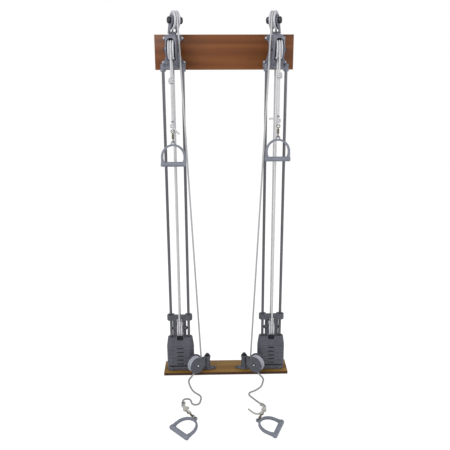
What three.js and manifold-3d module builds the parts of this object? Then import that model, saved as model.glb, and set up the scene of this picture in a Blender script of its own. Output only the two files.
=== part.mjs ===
// Wall pulley weight stack: two mirrored columns with guide rods, a selector weight stack, an upper
// bracket with chest and overhead pulleys, and a floor pulley, on a top board and a bottom board.
// Millimetres, +Z up. X to the right, Y toward the wall. The origin is on the underside of the
// bottom board, in the plane of the guide rods, midway between the two columns.
import * as THREE from 'three';
import { mergeVertices } from 'three/addons/utils/BufferGeometryUtils.js';
import Module from 'manifold-3d';

const wasm = await Module();
wasm.setup();

// Driving dimensions
const COLUMN_X = 278;        // column axis from the middle
const ROD_X = 53;            // guide rod axis from the column axis
const ROD_R = 8;
const ROD_TOP = 1830;
const ROD_BOTTOM = 28.3;
const GAP = 0.3;             // space left between pieces that touch
const BOARD_W = 762;
const BOARD_T = 19;
const WALL_Y = 100;          // back face of both boards
const TOP_BOARD_Z0 = 1810;
const TOP_BOARD_Z1 = 1994;
const FLOOR_BOARD_FRONT = -46;
const ROPE_R = 4.75;
const WHEEL_R = 49;
const WHEEL_HALF = 16;       // half width of a wheel
const ROPE_PITCH_R = 43.5;   // radius of the rope centre line on a wheel
const AXLE_R = 6;
const CHEST_Y = -100;        // chest wheel centre
const CHEST_Z = 1903;
const CARRIAGE_WHEEL_Z = 298;
const OVER_Y = 43.5;         // swivel axis of the overhead yoke
const OVER_Z = 2057;
const OVER_TURN = 22;        // yoke turned toward the middle, degrees
const PLATE_T = 25.4;
const PLATE_GAP = 0.34;
const PLATE_Z0 = 55.2;       // underside of the lowest plate
const PLATES = 5;
const STEM_R = 10;
const FOOT_X = 164;          // floor swivel axis from the column axis
const FOOT_Y = 2;
const FLOOR_TURN = 37;       // floor wheel plane, degrees from the X axis
const FLOOR_ARM = 95.8;      // wheel centre to swivel axis, along the wheel plane
const FLOOR_OFFSET = 9.2;    // and across it
const FLOOR_WHEEL_Z = 85;
const HANDLE_DROP = 112;     // lug hole to grip axis of a handle
const HOOK_R = 12.5;         // centre line radius of the snap hook
const LOW = ROPE_R + 0.2;    // height of a rope that lies on the floor

const rad = (degrees) => degrees * Math.PI / 180;
const round4 = (value) => Math.round(value * 1e4) / 1e4;

// Points of an arc from angle a to angle b in degrees
function arc(cx, cy, r, a, b, steps) {
  const points = [];
  for (let i = 0; i <= steps; i += 1) {
    const angle = rad(a + (b - a) * i / steps);
    points.push([cx + r * Math.cos(angle), cy + r * Math.sin(angle)]);
  }
  return points;
}

function mirrorPoints(points) {
  const other = points.map(([x, y]) => [-x, y]).reverse();
  return points.concat(other);
}

function shapeOf(points) {
  const path = points.map(([x, y]) => new THREE.Vector2(x, y));
  return new THREE.Shape(THREE.ShapeUtils.isClockWise(path) ? path.reverse() : path);
}

// Solid of a closed geometry, for the boolean kernel
function solid(geometry) {
  const bare = geometry.clone();
  bare.deleteAttribute('normal');
  bare.deleteAttribute('uv');
  const merged = mergeVertices(bare, 1e-4);
  const vertProperties = new Float32Array(merged.attributes.position.array);
  const triVerts = new Uint32Array(merged.index.array);
  return new wasm.Manifold(new wasm.Mesh({ numProp: 3, vertProperties, triVerts }));
}

function placed(geometry, u, v, w, origin) {
  const matrix = new THREE.Matrix4().makeBasis(u, v, w).setPosition(origin);
  return geometry.applyMatrix4(matrix);
}

const AXIS_X = new THREE.Vector3(1, 0, 0);
const AXIS_Y = new THREE.Vector3(0, 1, 0);
const AXIS_Z = new THREE.Vector3(0, 0, 1);
const AXIS_BACK = new THREE.Vector3(0, -1, 0);

function extruded(points, depth) {
  return new THREE.ExtrudeGeometry(shapeOf(points), { depth, bevelEnabled: false, curveSegments: 8 });
}

// Outline in (x, y), raised from z0 to z1
function flat(points, z0, z1) {
  return solid(extruded(points, z1 - z0).translate(0, 0, z0));
}

// Outline in (x, z), from the back face y1 forward to y0
function front(points, y0, y1) {
  return solid(placed(extruded(points, y1 - y0), AXIS_X, AXIS_Z, AXIS_BACK, new THREE.Vector3(0, y1, 0)));
}

// Outline in (y, z), from x0 to x1
function side(points, x0, x1) {
  return solid(placed(extruded(points, x1 - x0), AXIS_Y, AXIS_Z, AXIS_X, new THREE.Vector3(x0, 0, 0)));
}

function box(x0, x1, y0, y1, z0, z1) {
  const geometry = new THREE.BoxGeometry(x1 - x0, y1 - y0, z1 - z0);
  return solid(geometry.translate((x0 + x1) / 2, (y0 + y1) / 2, (z0 + z1) / 2));
}

function cylinderZ(x, y, r, z0, z1, segments = 16, topR = r) {
  const geometry = new THREE.CylinderGeometry(topR, r, z1 - z0, segments).rotateX(Math.PI / 2);
  return solid(geometry.translate(x, y, (z0 + z1) / 2));
}

function cylinderX(y, z, r, x0, x1, segments = 16) {
  const geometry = new THREE.CylinderGeometry(r, r, x1 - x0, segments).rotateZ(-Math.PI / 2);
  return solid(geometry.translate((x0 + x1) / 2, y, z));
}

function cylinderY(x, z, r, y0, y1, segments = 16) {
  const geometry = new THREE.CylinderGeometry(r, r, y1 - y0, segments);
  return solid(geometry.translate(x, (y0 + y1) / 2, z));
}

// Turned body about its own axis, profile points (radius, height), then laid along X, Y or Z
function turned(profile, axis, segments = 20) {
  const ordered = profile.map(([r, h]) => new THREE.Vector2(r, h));
  const geometry = new THREE.LatheGeometry(ordered, segments);
  if (axis === 'x') geometry.rotateZ(-Math.PI / 2);
  if (axis === 'z') geometry.rotateX(Math.PI / 2);
  return solid(outward(geometry));
}

// Turns the faces of a closed geometry outward if they point in
function outward(geometry) {
  const bare = geometry.clone();
  bare.deleteAttribute('normal');
  bare.deleteAttribute('uv');
  const merged = mergeVertices(bare, 1e-4);
  const p = merged.attributes.position;
  const index = Array.from(merged.index.array);
  const kept = [];
  let volume = 0;
  for (let i = 0; i < index.length; i += 3) {
    const [a, b, c] = [index[i], index[i + 1], index[i + 2]];
    if (a === b || b === c || a === c) continue;
    kept.push(a, b, c);
    const va = new THREE.Vector3().fromBufferAttribute(p, a);
    const vb = new THREE.Vector3().fromBufferAttribute(p, b);
    const vc = new THREE.Vector3().fromBufferAttribute(p, c);
    volume += va.dot(vb.cross(vc)) / 6;
  }
  const order = volume < 0 ? kept.reverse() : kept;
  merged.setIndex(order);
  return merged;
}

// Ring profile for a closed lathe: a round wire of radius wire on a circle of radius r
function wireProfile(r, wire, sides) {
  const points = arc(r, 0, wire, 0, 360, sides);
  points[points.length - 1] = points[0];
  return points;
}

// Curve through hand-set stations, one station per step
class Route extends THREE.Curve {
  constructor(stations) {
    super();
    this.stations = stations;
  }

  getPoint(t, target = new THREE.Vector3()) {
    const last = this.stations.length - 1;
    const at = Math.min(Math.max(t, 0), 1) * last;
    const i = Math.min(Math.floor(at + 1e-9), last - 1);
    return target.lerpVectors(this.stations[i], this.stations[i + 1], at - i);
  }

  getPointAt(t, target) {
    return this.getPoint(t, target);
  }

  getSpacedPoints(count) {
    const points = [];
    for (let i = 0; i <= count; i += 1) points.push(this.getPoint(i / count));
    return points;
  }

  getTangentAt(t, target = new THREE.Vector3()) {
    const last = this.stations.length - 1;
    const i = Math.min(Math.max(Math.round(t * last), 0), last);
    const before = this.stations[Math.max(i - 1, 0)];
    const here = this.stations[i];
    const after = this.stations[Math.min(i + 1, last)];
    const back = new THREE.Vector3().subVectors(here, before);
    const ahead = new THREE.Vector3().subVectors(after, here);
    if (back.length() > 0) back.normalize();
    if (ahead.length() > 0) ahead.normalize();
    return target.addVectors(back, ahead).normalize();
  }
}

// Round rope along stations
function rope(stations, sides = 8) {
  const points = stations.map(([x, y, z]) => new THREE.Vector3(x, y, z));
  const circle = shapeOf(arc(0, 0, ROPE_R, 0, 360 - 360 / sides, sides - 1));
  const options = { steps: points.length - 1, bevelEnabled: false, extrudePath: new Route(points) };
  return solid(outward(new THREE.ExtrudeGeometry(circle, options)));
}

// Smooth stations through route points, about one per spacing
function smooth(points, spacing) {
  const curve = new THREE.CatmullRomCurve3(points.map(([x, y, z]) => new THREE.Vector3(x, y, z)), false, 'centripetal');
  const count = Math.max(2, Math.round(curve.getLength() / spacing));
  return curve.getSpacedPoints(count).map((p) => [p.x, p.y, Math.max(p.z, LOW)]);
}

function union(...parts) {
  return parts.reduce((sum, part) => sum.add(part));
}

function cut(body, ...tools) {
  return tools.reduce((rest, tool) => rest.subtract(tool), body);
}

function geometryOf(body) {
  const mesh = body.getMesh();
  const positions = new Float32Array(mesh.numVert * 3);
  for (let i = 0; i < mesh.numVert; i += 1) {
    for (let k = 0; k < 3; k += 1) positions[i * 3 + k] = round4(mesh.vertProperties[i * mesh.numProp + k]);
  }
  const geometry = new THREE.BufferGeometry();
  geometry.setAttribute('position', new THREE.BufferAttribute(positions, 3));
  geometry.setIndex(Array.from(mesh.triVerts));
  return geometry;
}

const FINISH = {
  casting: { color: '#686a74', roughness: 0.5, metalness: 0.35 },
  weight: { color: '#55565f', roughness: 0.55, metalness: 0.35 },
  wheel: { color: '#cfcfd2', roughness: 0.4, metalness: 0.0 },
  steel: { color: '#9a9ca2', roughness: 0.3, metalness: 0.9 },
  dark: { color: '#3c3d44', roughness: 0.4, metalness: 0.5 },
  handle: { color: '#858a98', roughness: 0.35, metalness: 0.6 },
  snap: { color: '#a09c8c', roughness: 0.35, metalness: 0.85 },
  rubber: { color: '#1b1b1c', roughness: 0.8, metalness: 0.0 },
  cord: { color: '#e4e2dc', roughness: 0.9, metalness: 0.0 },
  wood: { color: '#7c4a25', roughness: 0.4, metalness: 0.0 },
  floorWood: { color: '#6b4a1c', roughness: 0.4, metalness: 0.0 },
};

const group = new THREE.Group();
group.name = 'wall_pulley_weight_stack';

function addMesh(parent, name, body, finish) {
  const mesh = new THREE.Mesh(geometryOf(body), new THREE.MeshStandardMaterial(FINISH[finish]));
  mesh.name = name;
  parent.add(mesh);
}

// Plan with two round bosses on the guide rods and a straight web between them
function dogBone(bossR, webHalf, steps) {
  const a = Math.asin(webHalf / bossR) * 180 / Math.PI;
  return arc(ROD_X, 0, bossR, -(180 - a), 180 - a, steps).concat(arc(-ROD_X, 0, bossR, a, 360 - a, steps));
}

// Cutters for the rod holes, with their flats outside the stated radius
function rodHoles(r, z0, z1) {
  const corner = r / Math.cos(Math.PI / 10);
  return [cylinderZ(-ROD_X, 0, corner, z0, z1, 10), cylinderZ(ROD_X, 0, corner, z0, z1, 10)];
}

function wheel() {
  const half = WHEEL_HALF;
  const rim = [[6.5, -half], [46, -half], [WHEEL_R, -13], [WHEEL_R, -9], [38, -5]];
  const outer = rim.concat(rim.slice(1).map(([r, h]) => [r, -h]).reverse(), [[6.5, half], [6.5, -half]]);
  return turned(outer, 'x', 16);
}

function plateMid(number) {
  return PLATE_Z0 + PLATE_T / 2 + (PLATES - number) * (PLATE_T + PLATE_GAP);
}

function weightPlate(number) {
  const mid = plateMid(number);
  const z0 = mid - PLATE_T / 2;
  const z1 = mid + PLATE_T / 2;
  const body = flat(dogBone(30, 27.5, 8), z0, z1);
  const stemHole = cylinderZ(0, 0, 11, z0 - 1, z1 + 1, 10);
  const slot = box(-20, 20, -34, -17, mid - 3.8, mid + 3.8);
  const channel = box(-6.5, 6.5, -18, 14.5, mid - 3.3, mid + 3.3);
  return cut(body, ...rodHoles(9.25, z0 - 1, z1 + 1), stemHole, slot, channel);
}

function selectorKey() {
  const mid = plateMid(PLATES);
  return union(box(-19, 19, -27, -17.6, mid - 2.5, mid + 2.5), box(-5.5, 5.5, -19, 13, mid - 2.5, mid + 2.5));
}

function backPlateOutline() {
  const lowLug = arc(57, 1850, 9, 0, 130, 4);
  const highLug = arc(49.5, 1975, 9, -90, 90, 4);
  const right = [[66, 1812], ...lowLug, [44, 1873], [38, 1900], [36, 1930], [38, 1954], ...highLug, [40, 1992]];
  return mirrorPoints(right);
}

function archOutline(half, centre, bottom, steps) {
  return [[half, bottom], ...arc(0, centre, half, 0, 180, steps), [-half, bottom]];
}

// Body whose width along X shrinks to a share of itself from the plane y1 forward to y0
function narrowed(body, share, y0, y1) {
  return body.warp((point) => {
    point[0] *= share + (1 - share) * (point[1] - y0) / (y1 - y0);
  });
}

// Side view of the hood, a lobe round the chest axle over a sloping apron, with its wall taken off inside
function hoodProfile(wall) {
  const lobe = [[-24 - wall * 0.3, 1828], [-60, 1846], [-96, 1862], [-112, 1874], [-122, 1886], [-128, 1898]];
  const inset = lobe.map(([y, z]) => [y + wall * 0.7, z + wall]);
  return [[80.7 - wall, 1812 + wall], [-20 + wall, 1812 + wall], ...inset, [-128 + wall, 1945],
    [-124 + wall, 1962 - wall], [-114 + wall, 1974 - wall], [-100, 1980 - wall], [80.7 - wall, 1980 - wall]];
}

function upperBracket() {
  const plate = front(backPlateOutline(), 72.7, 80.7);
  const shell = narrowed(front(archOutline(33, 1947, 1800, 10), -128, 80.7), 0.85, -128, 80.7);
  const inside = narrowed(front(archOutline(26.5, 1947, 1800, 8), -128, 72.7), 0.85, -128, 72.7);
  const cavity = inside.intersect(side(hoodProfile(6.5), -40, 40));
  const slot = front([...arc(0, 1936, 21, 0, 180, 8), [-21, 1851], [21, 1851]], -140, -60);
  const ropeSlot = box(-9, 9, -75, -45, 1815, 1870);
  const hood = cut(shell.intersect(side(hoodProfile(0), -40, 40)), cavity, slot, ropeSlot);
  const ledge = flat([[66, -10], [66, 80.7], [-66, 80.7], [-66, -10], [-60, -16], [60, -16]], 1812, 1822);
  const window = box(-20, 20, 20, 66, 1805, 1830);
  const gusset = front([[28, 1815], [64, 1815], [64, 1824], [59, 1846], [46, 1862], [37, 1884], [33, 1906],
    [28, 1906]], -6, 6);
  const otherGusset = front([[-28, 1815], [-64, 1815], [-64, 1824], [-59, 1846], [-46, 1862], [-37, 1884],
    [-33, 1906], [-28, 1906]], -6, 6);
  const sockets = union(cylinderZ(-ROD_X, 0, 15, 1798, 1850, 10, 12.5), cylinderZ(ROD_X, 0, 15, 1798, 1850, 10, 12.5));
  const boss = cylinderZ(0, OVER_Y, 20, 1962, 1996, 14);
  const hubs = union(cylinderX(CHEST_Y, CHEST_Z, 13, -33, -17, 10), cylinderX(CHEST_Y, CHEST_Z, 13, 17, 33, 10));
  const body = union(plate, hood, ledge, gusset, otherGusset, sockets, boss, hubs);
  const screws = [[-49.5, 1975], [49.5, 1975], [-57, 1850], [57, 1850]];
  const holes = screws.map(([x, z]) => cylinderY(x, z, 2.7, 60, 90, 6));
  const bore = cylinderZ(0, OVER_Y, 12.1, 1940, 2010, 14);
  const axle = cylinderX(CHEST_Y, CHEST_Z, 6.4, -40, 40, 10);
  return cut(body, window, bore, axle, ...rodHoles(8.3, 1790, ROD_TOP + 0.4), ...holes);
}

// Axle with a round head at each end, along X through (0, 0, 0)
function headedAxle(half, headR, headT, r = AXLE_R) {
  const inner = half - headT;
  const profile = [[0, -half], [headR - 1, -half], [headR, -half + 1], [headR, -inner], [r, -inner],
    [r, inner], [headR, inner], [headR, half - 1], [headR - 1, half], [0, half]];
  return turned(profile, 'x', 10);
}

// Point where a line from (px, py) touches a circle, on the side given by sign
function tangentAngle(px, py, cx, cy, r, sign) {
  const distance = Math.hypot(cx - px, cy - py);
  const back = Math.atan2(py - cy, px - cx);
  return (back + sign * Math.acos(r / distance)) * 180 / Math.PI;
}

// Overhead yoke, drawn with its wheel plane on YZ and its wheel in front, before the turn
function overheadYoke() {
  const wheelY = -ROPE_PITCH_R;
  const base = [[-24, -12], [-24, 14], [-14, 23], [14, 23], [24, 14], [24, -12], [18, -22], [-18, -22]];
  const plate = flat(base, 1996.3, 2003);
  const frontAngle = tangentAngle(-22, 2003, wheelY, OVER_Z, 30, -1) + 360;
  const backAngle = tangentAngle(14, 2003, wheelY, OVER_Z, 30, 1);
  const crown = arc(wheelY, OVER_Z, 30, backAngle, frontAngle, 9);
  const outline = [[14, 1996.3], ...crown, [-22, 2003], [-12, 1996.3]];
  const cheeks = union(side(outline, 19, 24), side(outline, -24, -19));
  const stem = cylinderZ(0, 0, 11.6, 1972, 1998, 12);
  const bore = cylinderZ(0, 0, 6.5, 1960, 2010, 10);
  const axle = cylinderX(wheelY, OVER_Z, 6.4, -40, 40, 10);
  return cut(union(plate, cheeks, stem), bore, axle);
}

function overheadAxle() {
  const profile = [[0, -42], [14, -42], [18, -38], [18, -27], [14, -24.3], [AXLE_R, -24.3],
    [AXLE_R, 24.3], [14, 24.3], [18, 27], [18, 38], [14, 42], [0, 42]];
  return turned(profile, 'x', 12).translate([0, -ROPE_PITCH_R, OVER_Z]);
}

function onYoke(body) {
  return body.rotate([0, 0, OVER_TURN]).translate([0, OVER_Y, 0]);
}

// Lower block of the carriage: the two-boss plan drawn in toward its top
function taperedBlock(z0, z1, lowR, highR, webHalf) {
  const geometry = extruded(dogBone(lowR, webHalf, 8), z1 - z0);
  const position = geometry.attributes.position;
  const k = highR / lowR;
  for (let i = 0; i < position.count; i += 1) {
    if (position.getZ(i) > (z1 - z0) / 2) {
      const x = position.getX(i);
      const centre = Math.sign(x) * ROD_X;
      position.setXY(i, centre + (x - centre) * k, position.getY(i) * k);
    }
  }
  return solid(geometry.translate(0, 0, z0));
}

function carriage() {
  const wheelZ = CARRIAGE_WHEEL_Z;
  const bar = flat(dogBone(23, 20, 8), 353, 386);
  const dip = front([[-36, 388], [-30, 378], [30, 378], [36, 388]], -40, 40);
  const arch = front([[-19, 350], [19, 350], [19, 356], [12, 361], [-12, 361], [-19, 356]], -40, 40);
  const cheekOutline = [[-22, 225], [22, 225], [21, 262], [18, 320], [19, 358], [-19, 358], [-18, 320], [-21, 262]];
  const cheeks = union(side(cheekOutline, 19, 26), side(cheekOutline, -26, -19));
  const web = cut(box(-43.5, -25, -4, 4, 236, 357), cylinderX(0, wheelZ, 10, -50, -39, 12));
  const ribs = union(box(25, 34, -5, 5, 236, 357), web);
  const bosses = union(cylinderX(0, wheelZ, 13, 20, 40, 10), cylinderX(0, wheelZ, 13, -40, -20, 10));
  const block = taperedBlock(183.9, 242, 30, 21.5, 27.5);
  const notch = front([[-19, 245], [-19, 228], [-13, 222], [13, 222], [19, 228], [19, 245]], -40, 14);
  const backWall = box(-19.5, 19.5, 14, 18, 225, 248);
  const stem = cylinderZ(0, 0, STEM_R, 58, 200, 12);
  const slots = [];
  for (let number = 1; number <= PLATES; number += 1) {
    const mid = plateMid(number);
    slots.push(box(-6, 6, -15, 15, mid - 3, mid + 3));
  }
  const body = union(cut(bar, dip, arch), cheeks, ribs, bosses, cut(block, notch), backWall, stem);
  const axle = cylinderX(0, wheelZ, 6.4, -50, 50, 10);
  return cut(body, axle, ...rodHoles(8.5, 180, 390), ...slots);
}

function rodBase() {
  return cut(flat(dogBone(27, 15, 8), BOARD_T + GAP, 46), ...rodHoles(8.3, 28, 50));
}

function rubberBumper() {
  return cut(flat(dogBone(20, 5, 9), 46.3, 54.9), ...rodHoles(8.3, 40, 60));
}

function floorFoot() {
  const tips = [...arc(43, 0, 11, -60, 60, 4), ...arc(0, 0, 24, 60, 120, 3), ...arc(-43, 0, 11, 120, 240, 4),
    ...arc(0, 0, 24, 240, 300, 3)];
  const flange = flat(tips, BOARD_T + GAP, 27.3);
  const post = cylinderZ(0, 0, 19, 27, 92, 14, 16);
  const shank = cylinderZ(0, 0, AXLE_R, 90, 112, 10);
  const washer = cylinderZ(0, 0, 15, 108.4, 111.6, 12);
  const head = cylinderZ(0, 0, 11, 111.4, 121, 6);
  const holes = [cylinderZ(43, 0, 3, 10, 40, 6), cylinderZ(-43, 0, 3, 10, 40, 6)];
  return cut(union(flange, post, shank, washer, head), ...holes);
}

// Floor pieces are drawn with the wheel plane on XZ and the wheel centre at (0, 0), before the turn
function floorHousing() {
  const z = FLOOR_WHEEL_Z;
  const disc = turned([[0, 18], [50.5, 18], [50.5, 23], [43, 23], [42, 21.8], [11, 21.8], [9, 27], [0, 27]], 'z',
    22).rotate([90, 0, 0]).translate([0, 0, z]);
  const pin = cylinderY(0, z, AXLE_R, -19, 24, 10);
  const cheek = front([...arc(0, z, 57, -60, 115, 12), ...arc(0, z, 36, 125, 290, 8)], 18, 23);
  const ear = front([[34, z - 25], [58, z - 25], [58, z + 25], [34, z + 25]], -23, -18);
  const bridge = box(51.5, 58, -23, 23, z - 25, z + 25);
  const arm = front([[51, 66], [58, 66], [70, 92.4], [FLOOR_ARM, 92.4], [FLOOR_ARM, 108], [51, 108]],
    FLOOR_OFFSET - 5, FLOOR_OFFSET + 5);
  const ring = cylinderZ(FLOOR_ARM, FLOOR_OFFSET, 19, 92.4, 108, 14);
  const bore = cylinderZ(FLOOR_ARM, FLOOR_OFFSET, 6.5, 80, 120, 10);
  return cut(union(disc, pin, cheek, ear, bridge, arm, ring), bore);
}

function onFloor(body) {
  const t = rad(FLOOR_TURN);
  const x = FOOT_X - FLOOR_ARM * Math.cos(t) + FLOOR_OFFSET * Math.sin(t);
  const y = FOOT_Y - FLOOR_ARM * Math.sin(t) - FLOOR_OFFSET * Math.cos(t);
  return body.rotate([0, 0, FLOOR_TURN]).translate([x, y, 0]);
}

function floorWheel() {
  return wheel().rotate([0, 0, 90]).translate([0, 0, FLOOR_WHEEL_Z]);
}

// Point of the floor wheel plane at distance t along it and height z
function floorPoint(t, z) {
  const turn = rad(FLOOR_TURN);
  const x = FOOT_X - FLOOR_ARM * Math.cos(turn) + FLOOR_OFFSET * Math.sin(turn);
  const y = FOOT_Y - FLOOR_ARM * Math.sin(turn) - FLOOR_OFFSET * Math.cos(turn);
  return [x + t * Math.cos(turn), y + t * Math.sin(turn), z];
}

// D-handle in the XZ plane, lug hole at the origin, grip below
function handle() {
  const outer = [[67, -HANDLE_DROP], [67, -80], ...arc(0, 0, 1, 6, 174, 9).map(([x, y]) => [67 * x, -72 + 67 * y]),
    [-67, -80], [-67, -HANDLE_DROP]];
  const inner = [[48, -HANDLE_DROP], [48, -80], ...arc(0, 0, 1, 6, 174, 9).map(([x, y]) => [48 * x, -72 + 54 * y]),
    [-48, -80], [-48, -HANDLE_DROP]];
  const feet = [arc(57.5, -HANDLE_DROP, 9.5, 180, 360, 3), arc(-57.5, -HANDLE_DROP, 9.5, 180, 360, 3)];
  const outline = [...feet[1], ...inner.slice(1, -1).reverse(), ...feet[0], ...outer.slice(1, -1)];
  const bow = front(outline, -7, 7);
  const grip = turned([[0, -68], [10, -68], [13, -63], [13, 63], [10, 68], [0, 68]], 'x', 10);
  const lug = cylinderY(0, 0, 12, -4.2, 4.2, 12);
  const hole = cylinderY(0, 0, 6.5, -20, 20, 10);
  return cut(union(bow, grip.translate([0, 0, -HANDLE_DROP]), lug), hole);
}

// Snap hook standing on the handle lug: hook loop in YZ, barrel, swivel eye in XZ
function snap() {
  const hook = turned(wireProfile(HOOK_R, 2.2, 5), 'x', 12).translate([0, 0, HOOK_R]);
  const barrel = turned([[0, 22], [6.3, 24], [6.3, 45], [3.5, 53], [0, 53]], 'z', 8);
  const eye = turned(wireProfile(9, 2.5, 5), 'y', 10).translate([0, 0, 62]);
  const thumb = box(-2, 2, -9, -5, 30, 37);
  return union(hook, barrel, eye, thumb);
}

function knot(r, half) {
  return turned([[0, -half], [r * 0.6, -half * 0.85], [r, -half * 0.4], [r, half * 0.4], [r * 0.6, half * 0.85],
    [0, half]], 'z', 8);
}

// Point on the rope's straight way off the floor wheel, 70 degrees below level
function leavingFloorWheel(distance) {
  const a = rad(-70);
  const t = ROPE_PITCH_R * Math.cos(a) + distance * Math.sin(a);
  const z = FLOOR_WHEEL_Z + ROPE_PITCH_R * Math.sin(a) - distance * Math.cos(a);
  return floorPoint(t, z);
}

// Rope held by the wheels, from the front of the chest wheel to the foot of the floor wheel
function pulleyRope() {
  const path = [[0, -143.5, 1900]];
  for (let a = 0; a <= 180; a += 20) {
    path.push([0, CHEST_Y - ROPE_PITCH_R * Math.cos(rad(a)), CHEST_Z + ROPE_PITCH_R * Math.sin(rad(a))]);
  }
  for (let a = 0; a <= 180; a += 20) {
    path.push([0, -ROPE_PITCH_R * Math.cos(rad(a)), CARRIAGE_WHEEL_Z - ROPE_PITCH_R * Math.sin(rad(a))]);
  }
  const turn = rad(OVER_TURN);
  for (let a = 0; a <= 180; a += 20) {
    const ahead = ROPE_PITCH_R * (1 - Math.cos(rad(a)));
    const z = OVER_Z + ROPE_PITCH_R * Math.sin(rad(a));
    path.push([ahead * Math.sin(turn), OVER_Y - ahead * Math.cos(turn), z]);
  }
  for (let a = 0; a >= -70; a -= 17.5) {
    path.push(floorPoint(ROPE_PITCH_R * Math.cos(rad(a)), FLOOR_WHEEL_Z + ROPE_PITCH_R * Math.sin(rad(a))));
  }
  path.push(leavingFloorWheel(4));
  return rope(path);
}

// Free rope from the floor wheel over the floor to the snap
function floorRope(side) {
  const drop = [[-4, 35.5], [-18, 23.5], [-31, 12.5]].map(([t, z]) => floorPoint(t, z));
  const along = [leavingFloorWheel(4 + GAP), ...smooth([leavingFloorWheel(9), ...drop, ...side.floorRoute], 23)];
  const [x, y, z] = side.floorKnot.at;
  const lump = knot(13.5, 25).rotate(side.floorKnot.lay).translate([x, y, z]);
  return union(rope(along), lump);
}

function chestRope(side) {
  const lug = side.chestLug;
  const path = [[0, -143.5, 1899.6], [0, -143.5, lug + 90]];
  const eye = knot(14, 12.5).translate([0, -143.5, lug + 88]);
  const doubled = cylinderZ(0, -143.5, 7.5, lug + 96, lug + 122, 8);
  const stopper = knot(14, 15).translate([0, -143.5, side.stopper]);
  return union(rope(path), eye, doubled, stopper);
}

const LEFT = {
  name: 'left', x: -COLUMN_X, mirror: 1, chestLug: 1430, stopper: 1747,
  floorLug: [104.5, -539, 37.8], handleYaw: -137, handleTilt: 12.8, snapDirection: [-55, 83.4, 2],
  floorRoute: [
    [57, -95.5, 6], [52.5, -116, LOW], [54.5, -142, LOW], [60.5, -168, LOW], [67.5, -192, LOW],
    [76, -215, LOW], [89, -238, LOW], [107, -258, LOW], [122.5, -275, LOW], [129.5, -296, LOW],
    [128, -321, LOW], [123.6, -344, LOW], [117.6, -357, LOW], [104, -364.2, LOW], [89, -361.3, LOW],
    [79.6, -350, LOW], [71.6, -321, LOW], [61.6, -309, LOW], [46.4, -306, LOW], [32.4, -313.6, LOW],
    [27, -328, LOW], [28, -353, 8], [28.5, -379, 15], [27.5, -404, 27],
  ],
};
const RIGHT = {
  name: 'right', x: COLUMN_X, mirror: -1, chestLug: 1455, stopper: 1772,
  floorLug: [123.3, -555, 32], handleYaw: -156.5, handleTilt: 9.8, snapDirection: [-39, 92, 0],
  floorRoute: [
    [57, -95.5, 6], [54, -116, LOW], [59.5, -143, LOW], [66, -168, LOW], [74, -189, LOW],
    [87, -207, LOW], [103, -224, LOW], [121, -238, LOW], [138, -247.5, LOW], [150, -262, LOW],
    [149.5, -280, LOW], [138, -300, LOW], [126, -318, LOW], [114, -336, LOW], [101, -354, LOW],
    [88, -371, 8], [78, -390, 14], [73, -413, 24],
  ],
};

// Pose of a floor handle: laid back from its lug by the yaw, with the lug raised by the tilt
function layHandle(body, side) {
  const yaw = side.handleYaw;
  return body.rotate([90 - side.handleTilt, 0, 0]).rotate([0, 0, yaw - 90]).translate(side.floorLug);
}

function unit(v) {
  const length = Math.hypot(...v);
  return v.map((value) => value / length);
}

// Rotation that lays the +Z axis along a direction: first about Y, then about Z
function layAlong(direction) {
  const [x, y, z] = unit(direction);
  return { tip: Math.acos(z) * 180 / Math.PI, yaw: Math.atan2(y, x) * 180 / Math.PI };
}

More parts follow.
